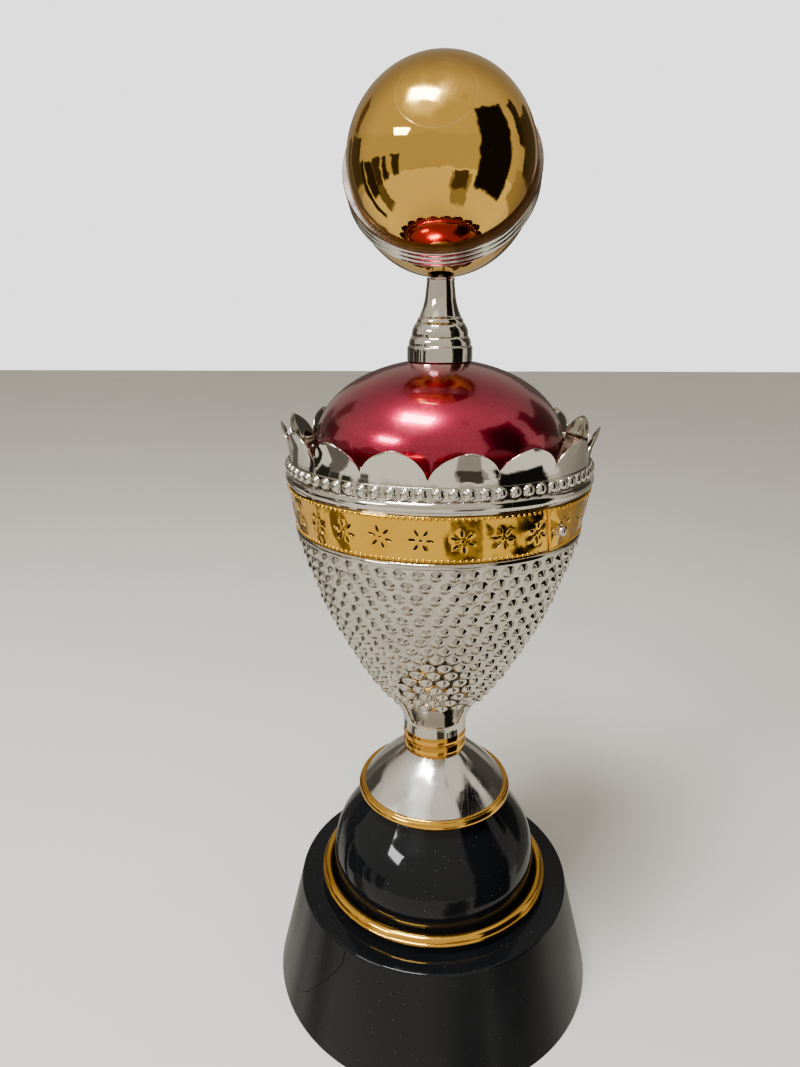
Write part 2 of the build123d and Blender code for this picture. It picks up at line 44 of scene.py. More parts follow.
# ---- dimensions, in millimetres, as the CAD source has them ---------------------------------------
PLINTH_FOOT_R, PLINTH_TOP_R, PLINTH_H = 129.5, 108.9, 85.5
BAND_LOW_Z, BAND_TOP_Z = 390.0, 420.0
BAND_LOW_R, BAND_TOP_R = 100.1, 105.2
STRAP_T = 0.8
RIM_Z, RIM_R = 430.2, 104.0
BEADS, BEAD_R, BEAD_PITCH_R, BEAD_Z = 70, 4.2, 103.2, 433.0
LID_R, LID_SPRING_Z, LID_RISE = 85.5, 448.0, 54.8
BALL_R, BALL_Z, SEAM_HALF = 59.7, 618.8, 8.46
SEAM_R, SEAM_TILT, SEAM_TURN = 63.1, 29.5, -4.0
FIT = 0.05
M6_HOLE_R, M5_HOLE_R = 3.05, 2.55


# ---- mesh helpers ---------------------------------------------------------------------------------
def arc(a, b, c, count=10):
    """Points from a to c on the circle through b, without a itself."""
    ax, ay, bx, by, cx, cy = *a, *b, *c
    d = 2 * (ax * (by - cy) + bx * (cy - ay) + cx * (ay - by))
    ux = ((ax**2 + ay**2) * (by - cy) + (bx**2 + by**2) * (cy - ay) + (cx**2 + cy**2) * (ay - by)) / d
    uy = ((ax**2 + ay**2) * (cx - bx) + (bx**2 + by**2) * (ax - cx) + (cx**2 + cy**2) * (bx - ax)) / d
    radius = math.hypot(ax - ux, ay - uy)
    start, mid, end = (math.atan2(y - uy, x - ux) for x, y in (a, b, c))
    sweep = (end - start) % (2 * math.pi)
    if (mid - start) % (2 * math.pi) > sweep:
        sweep -= 2 * math.pi
    turns = [start + sweep * i / count for i in range(1, count + 1)]
    return [(ux + radius * math.cos(t), uy + radius * math.sin(t)) for t in turns]


def flow(points, count=6):
    """A smooth line through the points, without the first one."""
    line = []
    for i in range(len(points) - 1):
        b, c = Vector(points[i]), Vector(points[i + 1])
        a = Vector(points[i - 1]) if i else b - (c - b)
        d = Vector(points[i + 2]) if i + 2 < len(points) else c + (c - b)
        ab, bc, cd = (max((q - p).length, 1e-6) for p, q in ((a, b), (b, c), (c, d)))
        m1 = ((b - a) / ab * bc + (c - b) / bc * ab) / (ab + bc) * bc
        m2 = ((c - b) / bc * cd + (d - c) / cd * bc) / (bc + cd) * bc
        for k in range(1, count + 1):
            t = k / count
            p = b * (2 * t**3 - 3 * t**2 + 1) + m1 * (t**3 - 2 * t**2 + t)
            p += c * (3 * t**2 - 2 * t**3) + m2 * (t**3 - t**2)
            line.append((p.x, p.y))
    return line


def rounded(corners, count=5, support=0.3):
    """Closed outline whose corners (r, z, radius) are rounded, with points that hold the flats flat."""
    out = []
    for i, corner in enumerate(corners):
        if len(corner) == 2:
            out.append(corner)
            continue
        p = Vector(corner[:2])
        back = Vector(corners[i - 1][:2]) - p
        ahead = Vector(corners[(i + 1) % len(corners)][:2]) - p
        half = back.angle(ahead) / 2
        reach = corner[2] / math.tan(half)
        back.normalize()
        ahead.normalize()
        centre = p + (back + ahead).normalized() * corner[2] / math.sin(half)
        first, last = p + back * reach, p + ahead * reach
        middle = centre + (p - centre).normalized() * corner[2]
        out.append(tuple(first + back * support))
        out.append(tuple(first))
        out += arc(tuple(first), tuple(middle), tuple(last), count)
        out.append(tuple(last + ahead * support))
    return out


def new_object(name, verts, faces, smooth_angle=32):
    """A linked object with clean normals, smooth but for edges sharper than the angle."""
    mesh = bpy.data.meshes.new(name)
    mesh.from_pydata(verts, [], faces)
    bm = bmesh.new()
    bm.from_mesh(mesh)
    bmesh.ops.remove_doubles(bm, verts=bm.verts, dist=1e-6)
    bmesh.ops.recalc_face_normals(bm, faces=bm.faces)
    bm.to_mesh(mesh)
    bm.free()
    mesh.polygons.foreach_set("use_smooth", [True] * len(mesh.polygons))
    mesh.set_sharp_from_angle(angle=math.radians(smooth_angle))
    obj = bpy.data.objects.new(name, mesh)
    bpy.context.scene.collection.objects.link(obj)
    return obj


def grid_faces(rows, columns):
    """Quads of a grid that closes on itself both ways."""
    faces = []
    for i in range(rows):
        for j in range(columns):
            a, b = i * columns, (i + 1) % rows * columns
            faces.append((a + j, b + j, b + (j + 1) % columns, a + (j + 1) % columns))
    return faces


def place(obj, body, stands_for, material):
    """A finished piece: its body, the CAD nodes that it stands for and its material."""
    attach(obj, body)
    if stands_for:
        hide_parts(*stands_for)
    obj.data.materials.append(material)


def lathe(name, outline, steps=256, matrix=None):
    """A closed outline of (radius, height) turned about Z, then moved by the matrix."""
    verts = []
    for i in range(steps):
        t = 2 * math.pi * i / steps
        verts += [(r * math.sin(t) * MM, -r * math.cos(t) * MM, z * MM) for r, z in outline]
    if matrix:
        verts = [matrix @ Vector(v) for v in verts]
    return new_object(name, verts, grid_faces(steps, len(outline)))


def at(azimuth, radius, height):
    """Point in metres, at an angle in degrees from the front towards +X."""
    t = math.radians(azimuth)
    return (radius * math.sin(t) * MM, -radius * math.cos(t) * MM, height * MM)


def between(value, low, high):
    """0 below low, 1 above high, smooth between."""
    t = min(max((value - low) / (high - low), 0), 1)
    return t * t * (3 - 2 * t)


# ---- materials ------------------------------------------------------------------------------------
class Nodes:
    """Short calls for the nodes of a tree, all placed by one coordinate."""

    def __init__(self, tree, coordinate):
        self.tree = tree
        self.place = self.node("ShaderNodeTexCoord").outputs[coordinate]

    def node(self, kind, **inputs):
        made = self.tree.nodes.new(kind)
        for key, value in inputs.items():
            socket = made.inputs[key.replace("_", " ")]
            if isinstance(value, bpy.types.NodeSocket):
                self.tree.links.new(value, socket)
            else:
                socket.default_value = value
        return made

    def vector(self, operation, a, b=None):
        made = self.tree.nodes.new("ShaderNodeVectorMath")
        made.operation = operation
        for index, value in enumerate((a, b)):
            if isinstance(value, bpy.types.NodeSocket):
                self.tree.links.new(value, made.inputs[index])
            elif value is not None:
                made.inputs[index].default_value = value
        return made.outputs["Value" if operation == "DOT_PRODUCT" else "Vector"]

    def noise(self, scale, detail=3, stretch=None):
        where = self.place
        if stretch:
            where = self.node("ShaderNodeMapping", Vector=where, Scale=stretch).outputs[0]
        made = self.node("ShaderNodeTexNoise", Vector=where, Scale=scale, Detail=detail, Roughness=0.55)
        return made.outputs["Fac"]

    def ramp(self, value, low, high, out_low=0.0, out_high=1.0):
        """The value from low to high, smoothly turned into out_low to out_high."""
        made = self.node("ShaderNodeMapRange", Value=value)
        made.interpolation_type = "SMOOTHSTEP"
        sockets = ("From Min", "From Max", "To Min", "To Max")
        for socket, number in zip(sockets, (low, high, out_low, out_high)):
            made.inputs[socket].default_value = number
        return made.outputs["Result"]

    def mix(self, factor, a, b):
        made = self.tree.nodes.new("ShaderNodeMix")
        made.data_type = "RGBA"
        for index, value in ((0, factor), (6, a), (7, b)):
            if isinstance(value, bpy.types.NodeSocket):
                self.tree.links.new(value, made.inputs[index])
            else:
                made.inputs[index].default_value = value if index == 0 else (*value, 1)
        return made.outputs[2]

    def maths(self, operation, a, b):
        made = self.tree.nodes.new("ShaderNodeMath")
        made.operation = operation
        for index, value in enumerate((a, b)):
            if isinstance(value, bpy.types.NodeSocket):
                self.tree.links.new(value, made.inputs[index])
            else:
                made.inputs[index].default_value = value
        return made.outputs[0]


class Finish(Nodes):
    """A Principled material with the nodes that give it its detail."""

    def __init__(self, name, colour, metallic, roughness, **sockets):
        self.material = bpy.data.materials.new(name)
        self.material.use_nodes = True
        super().__init__(self.material.node_tree, "Object")
        self.shader = self.tree.nodes["Principled BSDF"]
        self.shader.inputs["Base Color"].default_value = (*colour, 1)
        self.shader.inputs["Metallic"].default_value = metallic
        self.shader.inputs["Roughness"].default_value = roughness
        for socket, value in sockets.items():
            self.shader.inputs[socket.replace("_", " ")].default_value = value

    def specks(self, scale, size, share):
        """Small scattered dots: 1 inside a dot, 0 outside."""
        cells = self.node("ShaderNodeTexVoronoi", Vector=self.place, Scale=scale)
        dots = self.ramp(cells.outputs["Distance"], size * 0.6, size, 1, 0)
        chance = self.node("ShaderNodeSeparateColor", Color=cells.outputs["Color"]).outputs[0]
        return self.maths("MULTIPLY", dots, self.ramp(chance, 1 - share, 1 - share + 0.02))

    def scratches(self, scale, width=0.012, tilt=0.4):
        """Fine lines, broken up by noise."""
        turned = self.node("ShaderNodeMapping", Vector=self.place)
        turned.inputs["Rotation"].default_value = (tilt, 0.7 * tilt, 1.9 * tilt)
        turned.inputs["Scale"].default_value = (1, 0.04, 0.3)
        cells = self.node("ShaderNodeTexVoronoi", Vector=turned.outputs[0], Scale=scale)
        cells.feature = "DISTANCE_TO_EDGE"
        lines = self.ramp(cells.outputs["Distance"], 0, width, 1, 0)
        return self.maths("MULTIPLY", lines, self.ramp(self.noise(30), 0.5, 0.62))

    def colour(self, value):
        self.tree.links.new(value, self.shader.inputs["Base Color"])

    def rough(self, value):
        self.tree.links.new(value, self.shader.inputs["Roughness"])

    def bump(self, height, distance, strength=1.0, under=None):
        made = self.node("ShaderNodeBump", Height=height, Distance=distance, Strength=strength)
        if under:
            self.tree.links.new(under, made.inputs["Normal"])
        self.tree.links.new(made.outputs[0], self.shader.inputs["Normal"])
        return made.outputs[0]


def metal_finish(name, colour, tarnish, roughness, smudge, wave=0.00002):
    """Plated or lacquered metal: faint tarnish, finger smudges, dust and hair scratches."""
    f = Finish(name, colour, 1.0, roughness)
    patches = f.ramp(f.noise(22, 4), 0.35, 0.75)
    dust = f.specks(420, 0.16, 0.05)
    tone = f.mix(patches, colour, tarnish)
    f.colour(f.mix(dust, tone, tuple(0.55 * c + 0.2 for c in colour)))
    smear = f.ramp(f.noise(48, 5), 0.42, 0.7, roughness, smudge)
    hair = f.scratches(160)
    f.rough(f.maths("ADD", smear, f.maths("MULTIPLY", f.maths("ADD", hair, dust), 0.16)))
    low = f.bump(f.noise(36, 2), wave, 1.0)
    f.bump(hair, -0.00002, 0.35, under=low)
    return f.material


def black_finish(name, ior, smooth, wiped):
    """Glossy black moulded plastic with orange peel, dust, wiping marks and fine scratches."""
    f = Finish(name, (0.0045, 0.005, 0.006), 0.0, smooth, IOR=ior)
    dust = f.specks(520, 0.17, 0.10)
    lint = f.specks(190, 0.10, 0.05)
    marks = f.maths("MAXIMUM", dust, lint)
    haze = f.ramp(f.noise(9, 5), 0.45, 0.8)
    tone = f.mix(haze, (0.0035, 0.0040, 0.0050), (0.0065, 0.0073, 0.0085))
    f.colour(f.mix(marks, tone, (0.10, 0.097, 0.09)))
    wiping = f.ramp(f.noise(14, 4, stretch=(1, 1, 0.3)), 0.4, 0.75, smooth, wiped)
    hair = f.scratches(120, 0.01)
    f.rough(f.maths("ADD", wiping, f.maths("MULTIPLY", f.maths("ADD", hair, marks), 0.25)))
    peel = f.bump(f.noise(420, 2), 0.000012, 0.5)
    soft = f.bump(f.noise(11, 2), 0.00035, 0.35, under=peel)
    f.bump(hair, -0.00003, 0.3, under=soft)
    return f.material


def red_finish():
    """Candy lacquer: metal flakes under a clear red coat."""
    f = Finish(
        "red_lacquer", (0.38, 0.004, 0.04), 1.0, 0.2,
        Coat_Weight=1.0, Coat_Roughness=0.02, Coat_IOR=1.5,
    )
    cells = f.node("ShaderNodeTexVoronoi", Vector=f.place, Scale=2600)
    chance = f.node("ShaderNodeSeparateColor", Color=cells.outputs["Color"]).outputs[0]
    flake = f.ramp(chance, 0.82, 1.0)
    depth = f.ramp(f.noise(16, 3), 0.3, 0.75)
    base = f.mix(depth, (0.32, 0.003, 0.034), (0.48, 0.007, 0.06))
    f.colour(f.mix(flake, base, (0.62, 0.025, 0.075)))
    f.rough(f.ramp(chance, 0.0, 1.0, 0.26, 0.17))
    f.bump(chance, 0.00003, 0.16)
    dust = f.specks(300, 0.12, 0.05)
    peel = f.node("ShaderNodeBump", Height=f.noise(150, 2), Distance=0.00003, Strength=0.5)
    grit = f.node("ShaderNodeBump", Height=dust, Distance=0.0001, Strength=0.6, Normal=peel.outputs[0])
    f.tree.links.new(grit.outputs[0], f.shader.inputs["Coat Normal"])
    return f.material


# Direction of a small pale spot on the ball, from the middle of the front half ball.
PALE_SPOT = (0.409, -0.885, -0.220)


def ball_finish(axis, centre):
    """Mirror gold with a worn ring round the front pole, crossed by rubbing scratches."""
    gold = (0.72, 0.43, 0.080)
    f = Finish("ball_gold", gold, 1.0, 0.05)
    unit = f.vector("NORMALIZE", f.vector("SUBTRACT", f.place, centre))
    height = f.vector("DOT_PRODUCT", unit, axis)
    ring_at = math.cos(math.radians(22.5))
    ring = f.maths("ABSOLUTE", f.maths("SUBTRACT", height, ring_at), 0)
    line = f.ramp(ring, 0.0008, 0.0024, 1, 0)
    inside = f.ramp(height, ring_at - 0.002, ring_at + 0.004)
    swirl = f.maths("MAXIMUM", f.scratches(700, 0.016, 0.9), f.scratches(620, 0.016, 2.1))
    rub = f.maths("MULTIPLY", inside, swirl)
    dust = f.specks(260, 0.09, 0.04)
    wear = f.maths("MAXIMUM", line, f.maths("MULTIPLY", rub, 0.6))
    marks = f.maths("MAXIMUM", f.maths("MULTIPLY", wear, 0.5), dust)
    patches = f.ramp(f.noise(18, 4), 0.35, 0.8)
    tone = f.mix(patches, gold, (0.62, 0.35, 0.07))
    # A small pale spot, lighter and rougher than the gold round it.
    pale_spot = f.ramp(f.vector("DOT_PRODUCT", unit, PALE_SPOT), 0.99945, 0.99965)
    marks = f.maths("MAXIMUM", marks, pale_spot)
    f.colour(f.mix(marks, tone, (0.86, 0.62, 0.25)))
    worn = f.ramp(f.maths("MULTIPLY", inside, f.noise(60, 3)), 0.2, 0.8, 0.0, 0.16)
    smear = f.maths("ADD", f.ramp(f.noise(30, 4), 0.4, 0.75, 0.03, 0.06), worn)
    f.rough(f.maths("ADD", smear, f.maths("MULTIPLY", marks, 0.3)))
    low = f.bump(f.noise(20, 2), 0.00006, 0.6)
    f.bump(line, -0.00003, 0.5, under=low)
    return f.material


def lip_finish():
    """Dull dark brown, not metal, on the rolled lip behind the front half ball."""
    f = Finish("lip_dark_brown", (0.07, 0.028, 0.006), 0.0, 0.35, IOR=1.4)
    f.colour(f.mix(f.ramp(f.noise(60, 4), 0.35, 0.7), (0.05, 0.018, 0.004), (0.11, 0.048, 0.010)))
    f.rough(f.ramp(f.noise(90, 3), 0.3, 0.7, 0.28, 0.42))
    f.bump(f.noise(300, 2), 0.00002, 0.4)
    return f.material


def board_finish():
    """Pressed hardboard."""
    f = Finish("hardboard", (0.16, 0.09, 0.045), 0.0, 0.8)
    fibre = f.noise(260, 6, stretch=(1, 1, 0.2))
    f.colour(f.mix(f.ramp(fibre, 0.3, 0.75), (0.11, 0.06, 0.03), (0.24, 0.15, 0.08)))
    f.rough(f.ramp(f.noise(40, 3), 0.3, 0.7, 0.68, 0.88))
    f.bump(fibre, 0.0004, 0.6)
    return f.material


CHROME = metal_finish("bright_chrome", (0.67, 0.635, 0.57), (0.59, 0.55, 0.48), 0.04, 0.09)
BOWL_CHROME = metal_finish("bowl_chrome", (0.60, 0.56, 0.485), (0.50, 0.46, 0.385), 0.05, 0.11)
BAND_GOLD = metal_finish("band_gold", (0.80, 0.455, 0.05), (0.66, 0.345, 0.028), 0.08, 0.17)
RING_GOLD = metal_finish("gold_metal", (0.84, 0.475, 0.075), (0.72, 0.36, 0.045), 0.09, 0.16)
LIP_BROWN = lip_finish()
CONE_CHROME = metal_finish("cone_chrome", (0.80, 0.785, 0.76), (0.70, 0.68, 0.65), 0.09, 0.22, 0.00012)
ZINC = metal_finish("zinc_steel", (0.56, 0.56, 0.55), (0.44, 0.43, 0.40), 0.26, 0.42)
# Painted shade: a near-black finish for the bowl's face under the pierced band, seen through its holes,
# standing for the shade the band casts there.
SHADED_SEAT = metal_finish("painted_shade_seat", (0.035, 0.032, 0.03), (0.02, 0.018, 0.016), 0.45, 0.6)
BLACK = black_finish("black_plastic", 1.34, 0.05, 0.11)
# Painted shade: a dull black that barely reflects, for the shade inside the plinth's crack.
CRACK_SHADE = black_finish("crack_black", 1.05, 0.8, 0.9)
BLACK_SIDE = black_finish("black_satin", 1.31, 0.27, 0.38)
RED = red_finish()
BOARD = board_finish()

tilt, turn = math.radians(SEAM_TILT), math.radians(SEAM_TURN)
seam_axis = Vector((math.sin(turn) * math.cos(tilt), -math.cos(turn) * math.cos(tilt), math.sin(tilt)))
seam_side = Vector((math.cos(turn), math.sin(turn), 0))
ball_centre = Vector((0, 0, BALL_Z * MM))
BALL_GOLD = ball_finish(seam_axis, ball_centre + seam_axis * (SEAM_HALF + FIT) * MM)

# ---- plinth and pedestal --------------------------------------------------------------------------
TOP_EDGE_H = 1.2
plinth = lathe("plinth_shell", rounded([
    (M6_HOLE_R, 82.0, 0.3), (M6_HOLE_R, PLINTH_H, 0.3), (PLINTH_TOP_R, PLINTH_H, 1.6),
    (PLINTH_FOOT_R, 0.0, 0.5), (126.5, 0.0, 0.5), (106.9, 82.0, 2.0),
]))
place(plinth, "cup", ["plinth"], BLACK)
plinth.data.materials.append(BLACK_SIDE)
for face in plinth.data.polygons:
    if face.center.z < (PLINTH_H - TOP_EDGE_H) * MM:
        face.material_index = 1

# A hairline crack, from the plinth's top edge down to the left: angle from the front and height.
CRACK = [
    (-35.3, 83.6), (-35.8, 78.0), (-35.6, 74.6), (-37.4, 68.0), (-38.6, 63.5), (-40.9, 57.0), (-41.6, 52.9),
    (-44.8, 45.5), (-47.1, 39.0), (-51.0, 29.0), (-53.5, 24.2), (-58.0, 19.5), (-64.0, 17.0),
]
verts = []
for i, (azimuth, height) in enumerate(CRACK):
    half = 0.42 - 0.16 * i / len(CRACK) + 0.06 * (i % 2)
    radius = PLINTH_FOOT_R + (PLINTH_TOP_R - PLINTH_FOOT_R) * height / PLINTH_H
    before, after = Vector(CRACK[max(i - 1, 0)]), Vector(CRACK[min(i + 1, len(CRACK) - 1)])
    run, rise = (after.x - before.x) * math.pi / 180 * radius, after.y - before.y
    long = math.hypot(run, rise)
    for side in (-1, 1):
        across_angle = math.degrees(-side * half * rise / long / radius)
        for lift in (0.04, -0.3):
            verts.append(at(azimuth + across_angle, radius + lift, height + side * half * run / long))
crack_faces = []
for i in range(len(CRACK) - 1):
    a, b = 4 * i, 4 * i + 4
    crack_faces += [(a, b, b + 2, a + 2), (a + 2, b + 2, b + 3, a + 3)]
    crack_faces += [(a + 3, b + 3, b + 1, a + 1), (a + 1, b + 1, b, a)]
crack_faces += [(0, 2, 3, 1), (b, b + 1, b + 3, b + 2)]
# The crack is a thin strip laid just proud of the plinth; its dull black is painted shade for the inside of
# the crack.
place(new_object("plinth_crack", verts, crack_faces), "cup", [], CRACK_SHADE)

pedestal_line = [(82.0, 100.0), (81.3, 115.0), (77.2, 130.0), (68.2, 144.5), (59.8, 154.5), (50.0, 166.0)]
pedestal_inside = [(47.8, 163.0), (57.6, 152.4), (65.7, 142.4), (74.3, 128.4), (78.2, 114.0), (79.0, 100.0)]
pedestal = lathe("pedestal_shell", [
    (90.9, 85.5), *arc((90.9, 90.9), (90.7, 91.3), (90.3, 91.5), 4), (82.6, 91.5), (82.2, 91.7), (82.0, 92.2),
    pedestal_line[0], *flow(pedestal_line, 8), (M6_HOLE_R, 166.0), (M6_HOLE_R, 163.0),
    pedestal_inside[0], *flow(pedestal_inside, 5), (79.0, 85.5),
])
place(pedestal, "cup", ["pedestal"], BLACK)

pedestal_ring = lathe("pedestal_bead", [
    (83.2, 91.5), *flow([(83.2, 91.5), (83.2, 94.9)], 2),
    *arc((83.2, 94.9), (87.2, 98.1), (90.7, 94.1), 18), *arc((90.7, 94.1), (92.0, 92.9), (91.4, 91.5), 10),
])
place(pedestal_ring, "cup", ["pedestal_ring"], RING_GOLD)

# ---- metal foot -----------------------------------------------------------------------------------
foot_ring = lathe("foot_bead", [
    (45.0, 166.0), (58.4, 166.0), *arc((58.4, 166.0), (60.4, 169.4), (58.9, 172.6), 16),
    *arc((58.9, 172.6), (58.4, 174.0), (57.0, 174.4), 8),
    (56.5, 173.5), (52.0, 173.5), (50.0, 167.5), (45.0, 167.5),
])
place(foot_ring, "cup", ["foot_ring"], RING_GOLD)

cone_line = [(56.3, 173.5), (44.0, 187.0), (30.6, 199.0), (24.2, 204.0)]
cone_inside = [(23.8, 202.8), (29.9, 198.0), (43.2, 186.1), (54.4, 173.5)]
foot_cone = lathe("foot_spin", [
    cone_line[0], *flow(cone_line, 10), (M6_HOLE_R, 204.0), (M6_HOLE_R, 202.8),
    cone_inside[0], *flow(cone_inside, 6),
])
place(foot_cone, "cup", ["foot_cone"], CONE_CHROME)

collar = lathe("collar_beads", [
    (19.5, 204.0), (23.5, 204.0), *arc((23.5, 204.0), (24.6, 208.375), (23.5, 212.75), 12),
    *arc((23.5, 212.75), (24.6, 217.125), (23.5, 221.5), 12), (19.5, 221.5),
])
place(collar, "cup", ["neck_collar"], RING_GOLD)

# ---- bowl, with pressed pearls --------------------------------------------------------------------
bowl_line = [
    (24.3, 230.0), (27.0, 237.0), (33.4, 248.5), (45.8, 265.0), (58.2, 285.0), (69.0, 305.0),
    (81.2, 330.0), (91.8, 360.0), (99.4, 385.0),
]
PEARL_ROWS = 16
PEARL_TOP_Z, PEARL_LOW_Z = 380.5, 256.4
PEARL_PITCH = 11.5
PEARL_R = 4.9
PEARL_RELIEF = 2.5

wall = [(24.3, 221.5), (24.3, 230.0)] + flow(bowl_line, 40)


def wall_lengths(line):
    lengths = [0.0]
    for p, q in zip(line, line[1:]):
        lengths.append(lengths[-1] + math.dist(p, q))
    return lengths


def wall_at(length, line, lengths):
    """Radius, height and outward direction at a length along the outline."""
    length = min(max(length, 0), lengths[-1])
    i = min(next((k for k, s in enumerate(lengths) if s > length), len(lengths) - 1), len(line) - 1)
    (r0, z0), (r1, z1) = line[i - 1], line[i]
    span = lengths[i] - lengths[i - 1]
    t = (length - lengths[i - 1]) / span
    return r0 + (r1 - r0) * t, z0 + (z1 - z0) * t, (z1 - z0) / span, -(r1 - r0) / span


lengths = wall_lengths(wall)
length_of = {z: next(s for s, p in zip(lengths, wall) if p[1] >= z) for z in (PEARL_LOW_Z, PEARL_TOP_Z)}
row_step = (length_of[PEARL_TOP_Z] - length_of[PEARL_LOW_Z]) / (PEARL_ROWS - 1)

dice = random.Random(7)
pearl_rows = []
for row in range(PEARL_ROWS):
    s = length_of[PEARL_TOP_Z] - row * row_step
    radius = wall_at(s, wall, lengths)[0]
    count = round(2 * math.pi * radius / PEARL_PITCH)
    phase = (row % 2) * 0.5 + dice.uniform(-0.12, 0.12)
    pearls = []
    for k in range(count):
        pearls.append((
            (k + phase + dice.uniform(-0.035, 0.035)) * 360 / count,
            s + dice.uniform(-0.3, 0.3),
            PEARL_R * dice.uniform(0.94, 1.05),
            PEARL_RELIEF * dice.uniform(0.85, 1.1) * (0.8 if row in (3, 4) else 1.0),
        ))
    pearl_rows.append((s, radius, count, phase, pearls))


def pearl_rise(azimuth, s, radius):
    """How far the pressed pattern stands out at a point of the bowl's wall."""
    best = 0.0
    for row_s, _, count, phase, pearls in pearl_rows:
        if abs(s - row_s) > PEARL_R + 2.5:
            continue
        slot = round(azimuth * count / 360 - phase)
        for k in (slot - 1, slot, slot + 1):
            angle, centre_s, size, relief = pearls[k % count]
            across = ((azimuth - angle + 180) % 360 - 180) * math.pi / 180 * radius
            far = math.hypot(across, (s - centre_s) * 1.04) / size
            if far < 1:
                best = max(best, relief * (0.5 + 0.5 * math.cos(math.pi * far)) ** 0.8)
    return best


ROUND, FINE_STEPS, NECK_STEPS = 840, 300, 14
pearl_low_s = length_of[PEARL_LOW_Z] - PEARL_R - 2
pearl_high_s = length_of[PEARL_TOP_Z] + PEARL_R + 1
steps_s = [pearl_low_s * i / NECK_STEPS for i in range(NECK_STEPS)]
steps_s += [pearl_low_s + (pearl_high_s - pearl_low_s) * i / FINE_STEPS for i in range(FINE_STEPS + 1)]
outline_tail = [
    (99.4, 385.0), *arc((99.4, 385.0), (101.6, 387.2), (BAND_LOW_R, 389.7), 10), (BAND_LOW_R, 390.0),
    (105.2, 420.0), (RIM_R, 420.8), (RIM_R, 430.0), (103.8, RIM_Z), (94.7, RIM_Z), (94.5, 430.0),
    (94.5, 429.0), (102.8, 429.0), (102.8, 420.0), (104.0, 419.4), (98.9, 390.0), (98.2, 385.0),
]
inner_line = [
    (98.2, 385.0), (90.6, 360.2), (80.1, 330.4), (67.9, 305.6), (57.1, 285.7), (44.8, 265.9), (32.5, 249.4),
    (25.9, 237.6), (23.1, 231.0),
]
outline_tail += flow(inner_line, 6) + [(23.1, 222.7), (M6_HOLE_R, 222.7), (M6_HOLE_R, 221.5)]

verts = []
columns = len(steps_s) + len(outline_tail)
for i in range(ROUND):
    azimuth = 360 * i / ROUND
    for s in steps_s:
        radius, height, out_r, out_z = wall_at(s, wall, lengths)
        rise = pearl_rise(azimuth, s, radius) if s > pearl_low_s else 0
        rise += 0.12 * noise.noise(Vector((azimuth / 9, s / 14, 3)))
        verts.append(at(azimuth, radius + out_r * rise, height + out_z * rise))
    verts += [at(azimuth, r, z) for r, z in outline_tail]
bowl = new_object("bowl_shell", verts, grid_faces(ROUND, columns), 50)
place(bowl, "cup", ["bowl"], BOWL_CHROME)
# Painted shade: the bowl's faces under the pierced band get the near-black finish.
bowl.data.materials.append(SHADED_SEAT)
for face in bowl.data.polygons:
    height, reach = face.center.z / MM, math.hypot(face.center.x, face.center.y) / MM
    if BAND_LOW_Z < height < BAND_TOP_Z and reach > BAND_LOW_R:
        face.material_index = 1

moulding = lathe("rim_bead", [
    (104.05, 421.0), (106.0, 421.0), (106.3, 421.3), (106.3, 422.2),
    *arc((106.3, 422.2), (107.6, 425.2), (105.6, 428.8), 14), (104.05, 428.8),
])
place(moulding, "cup", ["rim_moulding"], CHROME)

# ---- crown: hand-cut scallops ---------------------------------------------------------------------
SCALLOPS = 16
FRONT_TIPS = [-56.3, -37.5, -14.2, 10.0, 30.4, 54.1, 78.1]
TIP_EXTRA = [3.0, 1.6, 0.0, -0.6, 0.0, 0.0, 1.0, 3.0, 3.5, 3.5, 3.5, 3.5, 3.5, 3.5, 3.5, 3.5]
NOTCH_DROPS = ((1, 1.5), (2, 4.5))
CROWN_T = 0.8
TIP_Z, NOTCH_Z = 459.0, 443.0
dice = random.Random(23)
tips = list(FRONT_TIPS)
gap = (360 + FRONT_TIPS[0] - FRONT_TIPS[-1]) / (SCALLOPS - len(FRONT_TIPS) + 1)
for k in range(1, SCALLOPS - len(FRONT_TIPS) + 1):
    tips.append(FRONT_TIPS[-1] + gap * k + dice.uniform(-1.4, 1.4))
notches = []
for k, tip in enumerate(tips):
    following = tips[(k + 1) % SCALLOPS] + (360 if k == SCALLOPS - 1 else 0)
    notches.append((tip + (following - tip) * dice.uniform(0.44, 0.54), NOTCH_Z + dice.uniform(-2.2, 2.6)))
tip_heights = [TIP_Z + extra + dice.uniform(-0.6, 0.6) for extra in TIP_EXTRA]
leans = [dice.uniform(-1, 1) for _ in tips]
for k, drop in NOTCH_DROPS:
    notches[k] = (notches[k][0], NOTCH_Z - drop)


def crown_top(azimuth):
    """Height of the scalloped edge, nearness to the middle of its scallop, and the scallop's lean."""
    azimuth = (azimuth - notches[-1][0]) % 360 + notches[-1][0]
    left = notches[-1]
    for k, tip in enumerate(t + (360 if t < notches[-1][0] else 0) for t in tips):
        right = (notches[k][0] + (360 if notches[k][0] <= notches[-1][0] else 0), notches[k][1])
        if azimuth <= right[0]:
            side, low = (left if azimuth < tip else right)
            t = min(abs(azimuth - tip) / abs(side - tip), 1)
            shape = 0.8 * math.sqrt(1 - t * t) + 0.2 * (1 - t)
            return low + (tip_heights[k] - low) * shape, 1 - t, leans[k]
        left = right
    return tip_heights[-1], 1, leans[-1]


def crown_r(height, middle, lean):
    """Inner radius of the crown's sheet, which flares and curls a little more at each tip."""
    flare = between(height, 437, 462)
    bend = 0.9 * middle * between(height, 445, 459) + lean * max(height - 441, 0) * 0.09
    return 103.2 + 3.1 * flare**1.4 + bend


